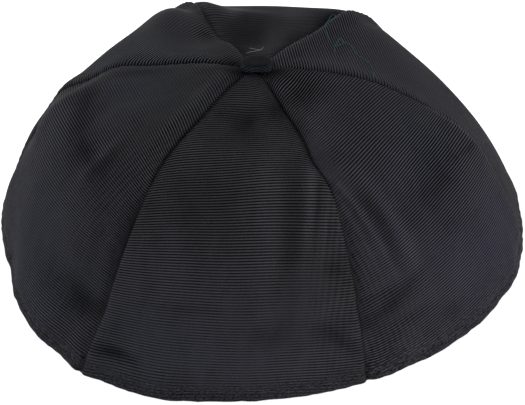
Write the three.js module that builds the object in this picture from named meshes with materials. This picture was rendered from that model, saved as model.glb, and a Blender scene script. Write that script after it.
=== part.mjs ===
// A six-panel cloth kippah with a covered button, standing by itself on its hem.
// Millimetres, +Z up, the wearer's front towards -Y, and the middle of its footprint at the origin.
import * as THREE from "three";

const CLOTH = 1.5; // wall of a panel
const HEM_CLOTH = 2.2; // wall of its turned hem
const HEM_HEIGHT = 7; // depth of the hem along the cloth
const HEM_STEP = 0.7; // length over which the wall thickens inside
const GAP = 0.3; // between two panels
const PANEL_LENGTH = 117; // from the crown's middle to the hem's edge, along the cloth
const HOLE_RADIUS = 2.6; // where the panels' tips leave room for the button's shank
const CROWN_AXIS_X = -2; // the crown's middle, from the middle of the footprint
const EDGE_BLEND = 6; // width beside a seam where the wall turns to face as the seam does

// Radii and heights at which the seams' profiles are given: the button's rim, the flat top, the side.
const MIDDLE_Z = 59.5;
const TIP_RADIUS = 10;
const TOP_RADIUS = 30;
const UPPER_Z = 40;
const LOWER_Z = 20;

const PANEL_COLUMNS = 14;
const PANEL_ROWS = 22;
const HEM_ROWS = 2;

const BLACK_FAILLE = { color: 0x26262b, roughness: 0.6, metalness: 0 };
const BUTTON_FAILLE = { color: 0x222227, roughness: 0.65, metalness: 0 };

// Azimuth in degrees from the front, growing towards +X. Each seam's profile lies in one upright plane.
const SEAMS = {
  front_left: { azimuth: -36.9, tipZ: 63, topZ: 60, shoulderR: 49, shoulderZ: 53.5, upperR: 61.5, lowerR: 75, rimR: 88.5 },
  front_right: { azimuth: 23.8, tipZ: 61.5, topZ: 59.8, shoulderR: 55, shoulderZ: 53.5, upperR: 66, lowerR: 76, rimR: 82.5 },
  right: { azimuth: 83, tipZ: 62.5, topZ: 60.8, shoulderR: 51, shoulderZ: 52.5, upperR: 67.5, lowerR: 78.5, rimR: 86 },
  back_right: { azimuth: 143, tipZ: 60.5, topZ: 57.5, shoulderR: 52, shoulderZ: 54.5, upperR: 65, lowerR: 76, rimR: 85 },
  back_left: { azimuth: 205, tipZ: 58.5, topZ: 54.5, shoulderR: 49, shoulderZ: 54, upperR: 64.5, lowerR: 75.5, rimR: 85 },
  left: { azimuth: 261, tipZ: 61.2, topZ: 58.2, shoulderR: 50.5, shoulderZ: 53.8, upperR: 65.5, lowerR: 75.5, rimR: 82.5 },
};

// How far a panel's middle stands proud of the straight line between its two seams, at the same five places.
const PANELS = {
  panel_front: { from: "front_left", to: "front_right", top: 1.5, shoulder: 3, upper: 7, lower: 10, rim: 10 },
  panel_front_right: { from: "front_right", to: "right", top: 1.5, shoulder: 4, upper: 6, lower: 9.5, rim: 11 },
  panel_back_right: { from: "right", to: "back_right", top: 0.5, shoulder: -0.5, upper: 2, lower: 9.5, rim: 12.5 },
  panel_back: { from: "back_right", to: "back_left", top: -1, shoulder: -1, upper: 4, lower: 8, rim: 10 },
  panel_back_left: { from: "back_left", to: "left", top: 0.5, shoulder: 2.5, upper: 3, lower: 9, rim: 10 },
  panel_front_left: { from: "left", to: "front_left", top: 2, shoulder: 6, upper: 10, lower: 11.5, rim: 10.5 },
};
const TIP_PUFF = 0.2; // share of the top's puff that is left at the button's rim

// Soft dents and rolls: place (azimuth, share of the panel's length), half width, half length, turn, height.
const FOLDS = {
  roll_beside_left_seam: { azimuth: -88, along: 0.58, across: 6, length: 14, turn: 0, height: 2 },
  roll_behind_left_seam: { azimuth: -107, along: 0.3, across: 5, length: 15, turn: 0, height: 1.6 },
  valley_beside_roll: { azimuth: -62, along: 0.55, across: 7, length: 14, turn: 0, height: -1.4 },
  dent_under_button: { azimuth: -6, along: 0.27, across: 6, length: 8, turn: 0, height: -1.6 },
  hollow_left_of_middle: { azimuth: -13, along: 0.53, across: 7, length: 8, turn: 0, height: -1 },
  pinch_right_of_button: { azimuth: 50, along: 0.2, across: 7, length: 6, turn: 0, height: -1.3 },
  dent_at_left_hem: { azimuth: -45, along: 0.84, across: 9, length: 8, turn: 0, height: -1.6 },
  slanting_ridge: { azimuth: 33, along: 0.6, across: 4.5, length: 16, turn: -20, height: 1.2 },
  hem_bulge_front: { azimuth: -20, along: 0.97, across: 10, length: 12, turn: 0, height: 1.8 },
  hem_bulge_right: { azimuth: 64, along: 0.97, across: 12, length: 12, turn: 0, height: 1.5 },
  dent_back_right: { azimuth: 124, along: 0.84, across: 10, length: 9, turn: 15, height: -1.2 },
  dent_back_left: { azimuth: 232, along: 0.72, across: 10, length: 13, turn: -15, height: -1.2 },
  shoulder_back_right: { azimuth: 117, along: 0.53, across: 15, length: 15, turn: 0, height: 2.4 },
  shoulder_back_left: { azimuth: -138, along: 0.37, across: 8, length: 7, turn: 0, height: 1.6 },
  hollow_right: { azimuth: 58, along: 0.6, across: 6, length: 8, turn: 0, height: -0.8 },
  hem_left_out: { azimuth: -51, along: 0.96, across: 6.5, length: 9, turn: 0, height: 1.8 },
  hem_far_left_in: { azimuth: -72, along: 0.98, across: 6, length: 6, turn: 0, height: -1 },
  hem_left_bulge: { azimuth: -92, along: 0.93, across: 6, length: 9, turn: 0, height: 0.9 },
  hem_right_bulge: { azimuth: 80, along: 0.95, across: 7, length: 8, turn: 0, height: 1.2 },
  bulge_far_left: { azimuth: -100, along: 0.8, across: 7, length: 12, turn: 0, height: 0.9 },
};

// Button: a cloth-covered shell on a short shank, leaning back as the crown's top does.
const BUTTON = { radius: 5.2, height: 2.9, edge: 0.8, shankRadius: 1.4, shankLength: 4.2, sides: 32 };
const BUTTON_Z = 61.7; // its underside, on the crown's axis
const BUTTON_LEAN = 10; // degrees

const UP = new THREE.Vector3(0, 0, 1);
const radians = THREE.MathUtils.degToRad;
const clamp = THREE.MathUtils.clamp;

function outward(azimuth) {
  return new THREE.Vector3(Math.sin(radians(azimuth)), -Math.cos(radians(azimuth)), 0);
}

function along(azimuth) {
  return new THREE.Vector3(Math.cos(radians(azimuth)), Math.sin(radians(azimuth)), 0);
}

// Smooth curve through the values at the knots, each slope the mean of its two neighbours' chords.
function curveThrough(knots, values, x) {
  const width = knots.slice(1).map((knot, i) => knot - knots[i]);
  const chord = values.slice(1).map((value, i) => (value - values[i]) / width[i]);
  const slope = values.map((_, i) => {
    if (i === 0 || i === values.length - 1) return 0;
    return (chord[i - 1] * width[i] + chord[i] * width[i - 1]) / (width[i] + width[i - 1]);
  });
  slope[0] = 1.5 * chord[0] - 0.5 * slope[1];
  slope[slope.length - 1] = 1.5 * chord.at(-1) - 0.5 * slope.at(-2);
  let i = 0;
  while (i < width.length - 1 && x >= knots[i + 1]) i += 1;
  const t = (x - knots[i]) / width[i];
  return (
    (1 + 2 * t) * (1 - t) ** 2 * values[i] +
    t * (1 - t) ** 2 * width[i] * slope[i] +
    t * t * (3 - 2 * t) * values[i + 1] +
    t * t * (t - 1) * width[i] * slope[i + 1]
  );
}

// A seam's profile: the knots' radii and heights, and each knot's share of the seam's length.
function seamProfile(seam) {
  const radii = [0, TIP_RADIUS, TOP_RADIUS, seam.shoulderR, seam.upperR, seam.lowerR, seam.rimR];
  const heights = [MIDDLE_Z, seam.tipZ, seam.topZ, seam.shoulderZ, UPPER_Z, LOWER_Z, 0];
  const lengths = [0];
  for (let i = 1; i < radii.length; i += 1) {
    lengths.push(lengths[i - 1] + Math.hypot(radii[i] - radii[i - 1], heights[i] - heights[i - 1]));
  }
  return { ...seam, radii, heights, shares: lengths.map((length) => length / lengths.at(-1)) };
}

function seamPoint(profile, share) {
  const radius = curveThrough(profile.shares, profile.radii, share);
  const height = curveThrough(profile.shares, profile.heights, share);
  return outward(profile.azimuth).multiplyScalar(radius).addScaledVector(UP, height);
}

// The seam's own normal, which lies in the seam's upright plane.
function seamNormal(profile, share) {
  const step = 0.004;
  const run = seamPoint(profile, share + step).sub(seamPoint(profile, share - step));
  return run.cross(along(profile.azimuth)).normalize();
}

function foldHeight(point, share) {
  const radius = Math.hypot(point.x, point.y);
  const azimuth = Math.atan2(point.x, -point.y);
  let height = 0;
  for (const fold of Object.values(FOLDS)) {
    const turned = THREE.MathUtils.euclideanModulo(azimuth - radians(fold.azimuth) + Math.PI, 2 * Math.PI) - Math.PI;
    const across = turned * radius;
    const down = (share - fold.along) * PANEL_LENGTH;
    const c = Math.cos(radians(fold.turn));
    const s = Math.sin(radians(fold.turn));
    const a = (across * c + down * s) / fold.across;
    const b = (down * c - across * s) / fold.length;
    height += fold.height * Math.exp(-0.5 * (a * a + b * b));
  }
  return height;
}

// Functions of u (0 to 1 across the panel) and s (0 at the crown's middle, 1 at the hem's edge).
function makePanel(row) {
  const from = seamProfile(SEAMS[row.from]);
  const to = seamProfile(SEAMS[row.to]);
  const turn = THREE.MathUtils.euclideanModulo(to.azimuth - from.azimuth, 360);
  const middle = outward(from.azimuth + turn / 2);
  const puffShares = from.shares.map((share, i) => (share + to.shares[i]) / 2);
  const puffs = [0, TIP_PUFF * row.top, row.top, row.shoulder, row.upper, row.lower, row.rim];

  const edges = (s) => [
    seamPoint(from, s).addScaledVector(along(from.azimuth), GAP / 2),
    seamPoint(to, s).addScaledVector(along(to.azimuth), -GAP / 2),
  ];
  const plain = (u, s) => {
    const [a, b] = edges(s);
    return a.lerp(b, u);
  };
  // Square to the cloth on the panel's middle line, and level with the floor at the hem.
  const proud = (s) => {
    const step = 0.004;
    const run = plain(0.5, s + step).sub(plain(0.5, s - step));
    const normal = middle.clone().multiplyScalar(-run.z).addScaledVector(UP, run.dot(middle)).normalize();
    normal.z *= 1 - THREE.MathUtils.smoothstep(s, 0.6, 1);
    return normal.normalize();
  };
  const smooth = (u, s) => {
    const puff = 4 * u * (1 - u) * curveThrough(puffShares, puffs, s);
    return plain(u, s).addScaledVector(proud(s), puff);
  };
  // The wall's direction: its own normal, turning to the seams' normals beside them, level at the hem.
  const wall = (u, s) => {
    const step = 0.01;
    const down = smooth(u, s + step).sub(smooth(u, s - step));
    const over = smooth(u + step, s).sub(smooth(u - step, s));
    const own = down.cross(over).normalize();
    const [a, b] = edges(s);
    const width = a.distanceTo(b);
    const nearFrom = clamp(1 - (u * width) / EDGE_BLEND, 0, 1) ** 2;
    const nearTo = clamp(1 - ((1 - u) * width) / EDGE_BLEND, 0, 1) ** 2;
    return own
      .multiplyScalar((1 - nearFrom) * (1 - nearTo))
      .addScaledVector(seamNormal(from, s), (1 - u) * nearFrom)
      .addScaledVector(seamNormal(to, s), u * nearTo)
      .normalize();
  };
  const levelled = (normal, share) => {
    const level = new THREE.Vector3(normal.x, normal.y, 0).normalize();
    return normal.clone().lerp(level, share).normalize();
  };
  const outer = (u, s) => {
    const point = smooth(u, s);
    const normal = levelled(wall(u, s), THREE.MathUtils.smoothstep(s, 0.9, 1));
    return point.addScaledVector(normal, foldHeight(point, s));
  };
  const inner = (u, s) => {
    const hemTop = 1 - HEM_HEIGHT / PANEL_LENGTH;
    const inHem = clamp(((s - hemTop) * PANEL_LENGTH) / HEM_STEP, 0, 1);
    const thickness = THREE.MathUtils.lerp(CLOTH, HEM_CLOTH, inHem);
    const normal = levelled(wall(u, s), THREE.MathUtils.smoothstep(s, 0.9, 1));
    return outer(u, s).addScaledVector(normal, -thickness);
  };
  return { outer, inner };
}

// Shares of the panel's length at its rows: even down to the hem, then the hem's step and its rows.
function panelRows() {
  const top = HOLE_RADIUS / PANEL_LENGTH;
  const hemTop = 1 - HEM_HEIGHT / PANEL_LENGTH;
  const hemStep = hemTop + HEM_STEP / PANEL_LENGTH;
  const rows = [];
  for (let j = 0; j <= PANEL_ROWS; j += 1) rows.push(THREE.MathUtils.lerp(top, hemTop, j / PANEL_ROWS));
  for (let j = 0; j <= HEM_ROWS; j += 1) rows.push(THREE.MathUtils.lerp(hemStep, 1, j / HEM_ROWS));
  return rows;
}

// One closed wall: the outer grid, the inner grid turned round, and a band that joins their borders.
function panelGeometry(row) {
  const { outer, inner } = makePanel(row);
  const rows = panelRows();
  const last = rows.length - 1;
  const positions = [];
  for (const surface of [outer, inner]) {
    for (let i = 0; i <= PANEL_COLUMNS; i += 1) {
      for (const s of rows) positions.push(...surface(i / PANEL_COLUMNS, s).toArray());
    }
  }
  const at = (i, j) => i * rows.length + j;
  const inside = (PANEL_COLUMNS + 1) * rows.length;
  const faces = [];
  for (let i = 0; i < PANEL_COLUMNS; i += 1) {
    for (let j = 0; j < last; j += 1) {
      const [a, b, c, d] = [at(i, j), at(i, j + 1), at(i + 1, j + 1), at(i + 1, j)];
      faces.push(a, b, c, a, c, d);
      faces.push(inside + a, inside + c, inside + b, inside + a, inside + d, inside + c);
    }
  }
  const border = [];
  for (let j = 0; j < last; j += 1) border.push(at(0, j));
  for (let i = 0; i < PANEL_COLUMNS; i += 1) border.push(at(i, last));
  for (let j = last; j > 0; j -= 1) border.push(at(PANEL_COLUMNS, j));
  for (let i = PANEL_COLUMNS; i > 0; i -= 1) border.push(at(i, 0));
  border.forEach((p, k) => {
    const q = border[(k + 1) % border.length];
    faces.push(q, p, inside + p, q, inside + p, inside + q);
  });
  const geometry = new THREE.BufferGeometry();
  geometry.setAttribute("position", new THREE.Float32BufferAttribute(positions, 3));
  geometry.setIndex(faces);
  geometry.computeVertexNormals();
  return geometry;
}

// The button's section, from the shank's foot up to the middle of its low dome.
function buttonGeometry() {
  const { radius, height, edge, shankRadius, shankLength, sides } = BUTTON;
  const profile = [
    new THREE.Vector2(0, -shankLength),
    new THREE.Vector2(shankRadius, -shankLength),
    new THREE.Vector2(shankRadius, 0),
    new THREE.Vector2(radius - edge, 0),
    new THREE.Vector2(radius, edge),
    new THREE.Vector2(radius, 0.55 * height),
    new THREE.Vector2(radius - 0.6 * edge, 0.82 * height),
    new THREE.Vector2(0.6 * radius, 0.95 * height),
    new THREE.Vector2(0, height),
  ];
  const geometry = new THREE.LatheGeometry(profile, sides);
  geometry.rotateX(Math.PI / 2);
  return geometry;
}

const kippah = new THREE.Group();
const crown = new THREE.Group();
crown.position.x = CROWN_AXIS_X;
kippah.add(crown);

for (const [name, row] of Object.entries(PANELS)) {
  const panel = new THREE.Mesh(panelGeometry(row), new THREE.MeshStandardMaterial(BLACK_FAILLE));
  panel.name = name;
  crown.add(panel);
}

const button = new THREE.Mesh(buttonGeometry(), new THREE.MeshStandardMaterial(BUTTON_FAILLE));
button.name = "top_button";
button.position.z = BUTTON_Z;
button.rotation.x = radians(-BUTTON_LEAN);
crown.add(button);

export default kippah;
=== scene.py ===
import bpy
import numpy as np
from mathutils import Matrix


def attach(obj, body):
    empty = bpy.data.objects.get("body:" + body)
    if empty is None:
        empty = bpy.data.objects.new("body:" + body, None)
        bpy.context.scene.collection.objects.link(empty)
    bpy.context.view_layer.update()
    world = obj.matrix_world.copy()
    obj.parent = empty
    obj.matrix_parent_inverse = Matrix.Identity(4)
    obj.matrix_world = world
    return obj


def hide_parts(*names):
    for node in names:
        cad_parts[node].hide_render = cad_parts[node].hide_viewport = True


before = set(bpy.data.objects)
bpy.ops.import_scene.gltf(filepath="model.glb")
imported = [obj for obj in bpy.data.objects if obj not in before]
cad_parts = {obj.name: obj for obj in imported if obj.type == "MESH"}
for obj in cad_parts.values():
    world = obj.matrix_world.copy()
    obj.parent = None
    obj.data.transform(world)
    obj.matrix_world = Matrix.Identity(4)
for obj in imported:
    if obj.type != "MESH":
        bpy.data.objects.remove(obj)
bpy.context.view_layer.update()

MM = 0.001


# The photographer's camera: a long lens 0.7 m away, a little over forty degrees above the floor,
# aimed just behind the middle of the cap's foot so that the cap fills the frame.
CAMERA_DISTANCE = 0.700
CAMERA_ELEVATION = np.radians(40.4)
CAMERA_FOCAL_MM = 147.6
CROWN_AXIS_X = -2.0
AIM_MM = (-0.1, 3.6, 4.3)
SENSOR_MM = 36.0


def added(name, data):
    """A new object of the scene, with its camera, lamp or mesh data."""
    thing = bpy.data.objects.new(name, data)
    bpy.context.collection.objects.link(thing)
    return thing


def facing(place, target):
    """Turn of a camera or lamp that looks from place to target: tilt, no roll, and heading."""
    aim = np.array(target) - np.array(place)
    return np.pi / 2 + np.arctan2(aim[2], np.hypot(aim[0], aim[1])), 0.0, np.arctan2(-aim[0], aim[1])


camera_data = bpy.data.cameras.new("camera")
camera_data.lens = CAMERA_FOCAL_MM
camera_data.sensor_width = SENSOR_MM
camera = added("camera", camera_data)
camera.location = (
    CROWN_AXIS_X * MM,
    -CAMERA_DISTANCE * np.cos(CAMERA_ELEVATION),
    CAMERA_DISTANCE * np.sin(CAMERA_ELEVATION),
)
camera.rotation_euler = facing(camera.location, np.array(AIM_MM) * MM)
bpy.context.scene.camera = camera


# The six cloth panels: black watered faille, cut as long leaves with the ribs across, seamed to each
# other from the button down, the allowances pressed to one side, and turned up in a stitched hem.
# Each replaces its plain solid, with every rib of the weave as real relief.
CLOTH = 1.5
HEM_CLOTH = 2.2
HEM_HEIGHT = 7.0
HEM_ROUND = 1.0
PANEL_LENGTH = 117.0
PANEL_WIDTH = 90.0
HOLE_RADIUS = 1.5
MIDDLE_Z, UPPER_Z, LOWER_Z = 59.5, 40.0, 20.0
TIP_RADIUS, TOP_RADIUS = 10.0, 30.0
TIP_PUFF = 0.2
EDGE_BLEND = 6.0
LAP_ROUND = 1.3
RIB_PITCH = 0.87
RIB_HEIGHT = 0.24
ROWS_PER_RIB = 6
COLUMNS = 72
LINING_COLUMNS = 12
STITCH_LINE = 3.2
HEM_FADE = 3.8
RIB_ROUND = 0.8
PRESSED_LEAST, PRESSED_MOST, PRESSED_AT_HEM = -1.8, 1, 0.9
FLECK_AT_HEM = 0.85
LEAST_RELIEF = -1.15
SEAM_CROWDING = 0.8
RIB_FLATTENED, RIB_RAISED = 0.8, 0.4
SEAM_START, SEAM_FULL = 5.0, 14.0
LOWER_START, LOWER_FULL = 0.42, 0.60
# Painted shade: EDGE_SHADE darkens the cloth within 3 mm of the hem's edge and STITCH_SHADE along the stitch
# row, about 4 mm above it.
EDGE_SHADE, STITCH_SHADE = 0.08, 0.04
# Painted shade: SEAM_SHADE beside every seam, more by UNDER_SHADE where a panel dips under its neighbour, and
# HOLLOW_SHADE where it dips deep under.
SEAM_SHADE, UNDER_SHADE, HOLLOW_SHADE = 0.11, 0.06, 0.40
UNEVEN = 0.25
STITCH_DIP, STITCH_PULL = 0.10, 0.22
HEM_PROUD = 0.35

SEAM_COLUMNS = ("azimuth", "tip_z", "top_z", "shoulder_r", "shoulder_z", "upper_r", "lower_r", "rim_r")
SEAMS = {
    "front_left": (-36.9, 63, 60, 49, 53.5, 61.5, 75, 88.5),
    "front_right": (23.8, 61.5, 59.8, 55, 53.5, 66, 76, 82.5),
    "right": (83, 62.5, 60.8, 51, 52.5, 67.5, 78.5, 86),
    "back_right": (143, 60.5, 57.5, 52, 54.5, 65, 76, 85),
    "back_left": (205, 58.5, 54.5, 49, 54, 64.5, 75.5, 85),
    "left": (261, 61.2, 58.2, 50.5, 53.8, 65.5, 75.5, 82.5),
}
# Puff at the top, shoulder, upper side, lower side and rim; the grain, in degrees, by which the ribs rise
# towards the second seam near the tip and in the lower half.
PANEL_COLUMNS = ("first", "second", "top", "shoulder", "upper", "lower", "rim", "grain_tip", "grain_foot")
PANELS = {
    "panel_front": ("front_left", "front_right", 1.5, 3, 7, 10, 10, 5, 5),
    "panel_front_right": ("front_right", "right", 1.5, 4, 6, 9.5, 11, 6, 2),
    "panel_back_right": ("right", "back_right", 0.5, -0.5, 2, 9.5, 12.5, -16, -8),
    "panel_back": ("back_right", "back_left", -1, -1, 4, 8, 10, 0, 0),
    "panel_back_left": ("back_left", "left", 0.5, 2.5, 3, 9, 10, 0, 0),
    "panel_front_left": ("left", "front_left", 2, 6, 10, 11.5, 10.5, 0, 0),
}
# How far each panel's edge laps over its neighbour (above nought) or dips under it (below nought), in
# the upper half and in the lower half of its first and its second seam.
LAPS = {
    "panel_front": (-0.6, 0.4, -0.6, 0.4),
    "panel_front_right": (0.8, -1.3, -0.2, 0.35),
    "panel_back_right": (0.3, -0.2, 0.8, 0.5),
    "panel_back": (-1.0, -0.3, -0.9, -0.3),
    "panel_back_left": (0.5, 0.5, 0.3, 0.4),
    "panel_front_left": (-0.5, -0.4, 0.8, -1.4),
}
# How deep each seam is drawn in, in its upper half and in its lower half.
SEAM_SINKS = {
    "front_left": (1.1, 1.3),
    "front_right": (0.6, 1.1),
    "right": (0.35, 0.2),
    "back_right": (0.9, 0.9),
    "back_left": (0.8, 0.9),
    "left": (1.1, 0.5),
}
# Folds and dents: their azimuth and share of the length, half width and half length, height and, where it
# isn't nought, their turn in degrees.
FOLD_COLUMNS = ("azimuth", "along", "across", "length", "height", "turn")
FOLDS = {
    "roll_beside_left_seam": (-88, 0.58, 6, 14, 2),
    "roll_behind_left_seam": (-107, 0.3, 8, 15, 1.2),
    "valley_beside_roll": (-62, 0.55, 7, 14, -1.4),
    "dent_under_button": (-6, 0.27, 6, 8, -1.6),
    "hollow_left_of_middle": (-13, 0.53, 7, 8, -1),
    "pinch_right_of_button": (50, 0.2, 7, 6, -1.3),
    "dent_at_left_hem": (-45, 0.84, 9, 8, -1.6),
    "slanting_ridge": (33, 0.6, 4.5, 16, 1.2, -20),
    "hem_bulge_front": (-20, 0.97, 10, 12, 1.8),
    "hem_bulge_right": (64, 0.97, 12, 12, 1.5),
    "dent_back_right": (124, 0.84, 10, 9, -1.2, 15),
    "dent_back_left": (232, 0.72, 10, 13, -1.2, -15),
    "shoulder_back_right": (117, 0.53, 15, 15, 2.4),
    "shoulder_back_left": (-138, 0.39, 6.3, 6.5, 3.7),
    "corner_back_left": (-158, 0.42, 4, 5, 1.7),
    "dip_back_left": (-150.5, 0.415, 2.2, 5, -1.9),
    "lift_back_left": (-152, 0.15, 4, 6, 1.3),
    "corner_back_right": (140, 0.475, 4.5, 5.5, -1.8),
    "crest_back": (-168, 0.37, 9, 3, 1.8),
    "dip_behind_button": (-168, 0.235, 5, 4, -1.2),
    "pucker_under_button": (-5, 0.25, 3, 3.5, -0.8),
    "pucker_right_of_button": (38, 0.17, 4, 4, -0.8),
    "valley_beside_left_seam": (-44, 0.7, 3.5, 16, -1.1),
    "valley_beside_right_seam": (28, 0.73, 3, 13, -0.9),
    "pit_at_left_foot": (-40, 0.835, 3.5, 4, -1.5),
    "pit_at_right_foot": (18.5, 0.8, 4.5, 2.6, -1.2, -10),
    "crease_left_hem": (-29, 0.91, 5, 1.2, -0.7, 10),
    "dimple_front_foot": (4, 0.8, 3, 3.5, -0.7),
    "crease_right_upper": (31, 0.77, 6.5, 1.5, -0.9),
    "crease_right_lower": (37, 0.86, 5, 1.6, -0.8),
    "dimple_right_seam": (78, 0.53, 4, 2.5, -0.9),
    "hollow_right": (58, 0.6, 6, 8, -0.8),
    "groove_left": (-72, 0.5, 3, 9, -0.9),
    "hem_left_out": (-52, 0.96, 6.5, 9, 1.2),
    "hem_left_foot": (-36.5, 0.97, 4, 8, 0.8),
    "hem_far_left_in": (-72, 0.98, 6, 6, -1.5),
    "hem_left_bulge": (-94, 0.93, 6, 8, 1.1),
    "hem_right_in": (62, 0.98, 6, 7, -1.1),
    "hem_right_corner": (73, 0.97, 3.5, 6, 0.7),
    "hem_right_bulge": (81, 0.95, 7, 8, 0.6),
    "hem_front_corner": (21, 0.975, 3.5, 5, -0.8),
    "hem_right_foot": (33, 0.98, 4, 5, -0.5),
    "bulge_far_left": (-100, 0.8, 7, 10, 0.4),
    "notch_far_left": (-94, 0.705, 6, 4, -1.1),
    "lift_left_seam": (-99, 0.23, 6, 11, 0.9),
    "rise_left_seam": (-99, 0.37, 5, 4, 0.6),
    "drop_left_seam": (-98, 0.46, 5, 4, -0.8),
    "valley_left_seam": (-94, 0.53, 3, 6, -1.5),
    "edge_left": (-107, 0.47, 5, 7, -0.7),
    "edge_far_left": (-99, 0.565, 6, 4, 1.3),
}
# Where a seam is pulled aside along the cloth: the shift is towards growing azimuth.
SWAY_COLUMNS = ("azimuth", "along", "across", "length", "shift")
SWAYS = {
    "front_right_seam": (24, 0.385, 9, 4.5, -1.3),
}
UP = np.array([0.0, 0.0, 1.0])
TURNED_OVER = [0, 3, 2, 1]


def smoothstep(x, low, high):
    """t^2 (3 - 2t), where t runs from 0 at low to 1 at high."""
    t = np.clip((x - low) / (high - low), 0.0, 1.0)
    return t * t * (3.0 - 2.0 * t)


def unit(vectors):
    """Each vector over its own length."""
    return vectors / np.linalg.norm(vectors, axis=-1, keepdims=True)


def bell(distance, width):
    """exp(-(distance / width)^2)."""
    return np.exp(-((distance / width) ** 2))


def distance_along(points):
    """How far each point is along their line: the sum of the steps before it."""
    return np.concatenate([[0.0], np.cumsum(np.linalg.norm(np.diff(points, axis=0), axis=1))])


def read_at(place, line, values):
    """Each column of values, which are given along the line, at the places between them."""
    return np.stack([np.interp(place, line, column) for column in values.T], axis=-1)


def faces_between(a, b):
    """Faces (a, b, next b, next a), where b holds the neighbours of a and next is one row further down."""
    return np.stack([a[..., :-1, :], b[..., :-1, :], b[..., 1:, :], a[..., 1:, :]], -1).reshape(-1, 4)


def curve_through(knots, values, x):
    """Cubic through the values: in each span (1+2t)(1-t)^2 a + t(1-t)^2 h m + t^2(3-2t) b + t^2(t-1) h n,
    with the slopes m and n the weighted means of the chords on either side of a knot."""
    knots, values = np.asarray(knots, float), np.asarray(values, float)
    width = np.diff(knots)
    chord = np.diff(values) / width
    slope = np.empty_like(values)
    slope[1:-1] = (chord[:-1] * width[1:] + chord[1:] * width[:-1]) / (width[1:] + width[:-1])
    slope[0] = 1.5 * chord[0] - 0.5 * slope[1]
    slope[-1] = 1.5 * chord[-1] - 0.5 * slope[-2]
    i = np.clip(np.searchsorted(knots, x, side="right") - 1, 0, len(width) - 1)
    t = (x - knots[i]) / width[i]
    return (
        (1 + 2 * t) * (1 - t) ** 2 * values[i]
        + t * (1 - t) ** 2 * width[i] * slope[i]
        + t * t * (3 - 2 * t) * values[i + 1]
        + t * t * (t - 1) * width[i] * slope[i + 1]
    )


def outward(azimuth):
    """Level direction away from the crown's middle: (sin a, -cos a, 0), a from the front."""
    return np.array([np.sin(np.radians(azimuth)), -np.cos(np.radians(azimuth)), 0.0])


def sideways(azimuth):
    """Level direction towards growing azimuth: (cos a, sin a, 0)."""
    return np.array([np.cos(np.radians(azimuth)), np.sin(np.radians(azimuth)), 0.0])


def bump(place, points, s):
    """exp(-(a^2 + b^2) / 2), a and b being the distances across and along from the place's azimuth and share
    of the length, over its half width and half length; the two are turned by its turn."""
    radius = np.hypot(points[..., 0], points[..., 1])
    azimuth = np.arctan2(points[..., 0], -points[..., 1])
    across = ((azimuth - np.radians(place["azimuth"]) + np.pi) % (2 * np.pi) - np.pi) * radius
    down = (s - place["along"]) * PANEL_LENGTH
    turn = np.radians(place.get("turn", 0.0))
    a = (across * np.cos(turn) + down * np.sin(turn)) / place["across"]
    b = (down * np.cos(turn) - across * np.sin(turn)) / place["length"]
    return np.exp(-0.5 * (a * a + b * b))[..., None]


class Seam:
    """A seam's line in its own upright plane: radius and height are smooth curves of its length's share."""

    def __init__(self, name):
        row = dict(zip(SEAM_COLUMNS, SEAMS[name]))
        self.azimuth = row["azimuth"]
        side = [row["shoulder_r"], row["upper_r"], row["lower_r"], row["rim_r"]]
        self.radii = [0.0, TIP_RADIUS, TOP_RADIUS] + side
        self.heights = [MIDDLE_Z, row["tip_z"], row["top_z"], row["shoulder_z"], UPPER_Z, LOWER_Z, 0.0]
        chord = np.hypot(np.diff(self.radii), np.diff(self.heights))
        self.shares = np.concatenate([[0.0], np.cumsum(chord)]) / chord.sum()

    def point(self, s):
        """radius(s) outward + height(s) up."""
        radius = curve_through(self.shares, self.radii, s)
        height = curve_through(self.shares, self.heights, s)
        return radius[..., None] * outward(self.azimuth) + height[..., None] * UP

    def normal(self, s):
        """The seam's run crossed with its sideways direction, so it stays in the seam's plane."""
        run = self.point(s + 0.004) - self.point(s - 0.004)
        return unit(np.cross(run, sideways(self.azimuth)))


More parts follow.
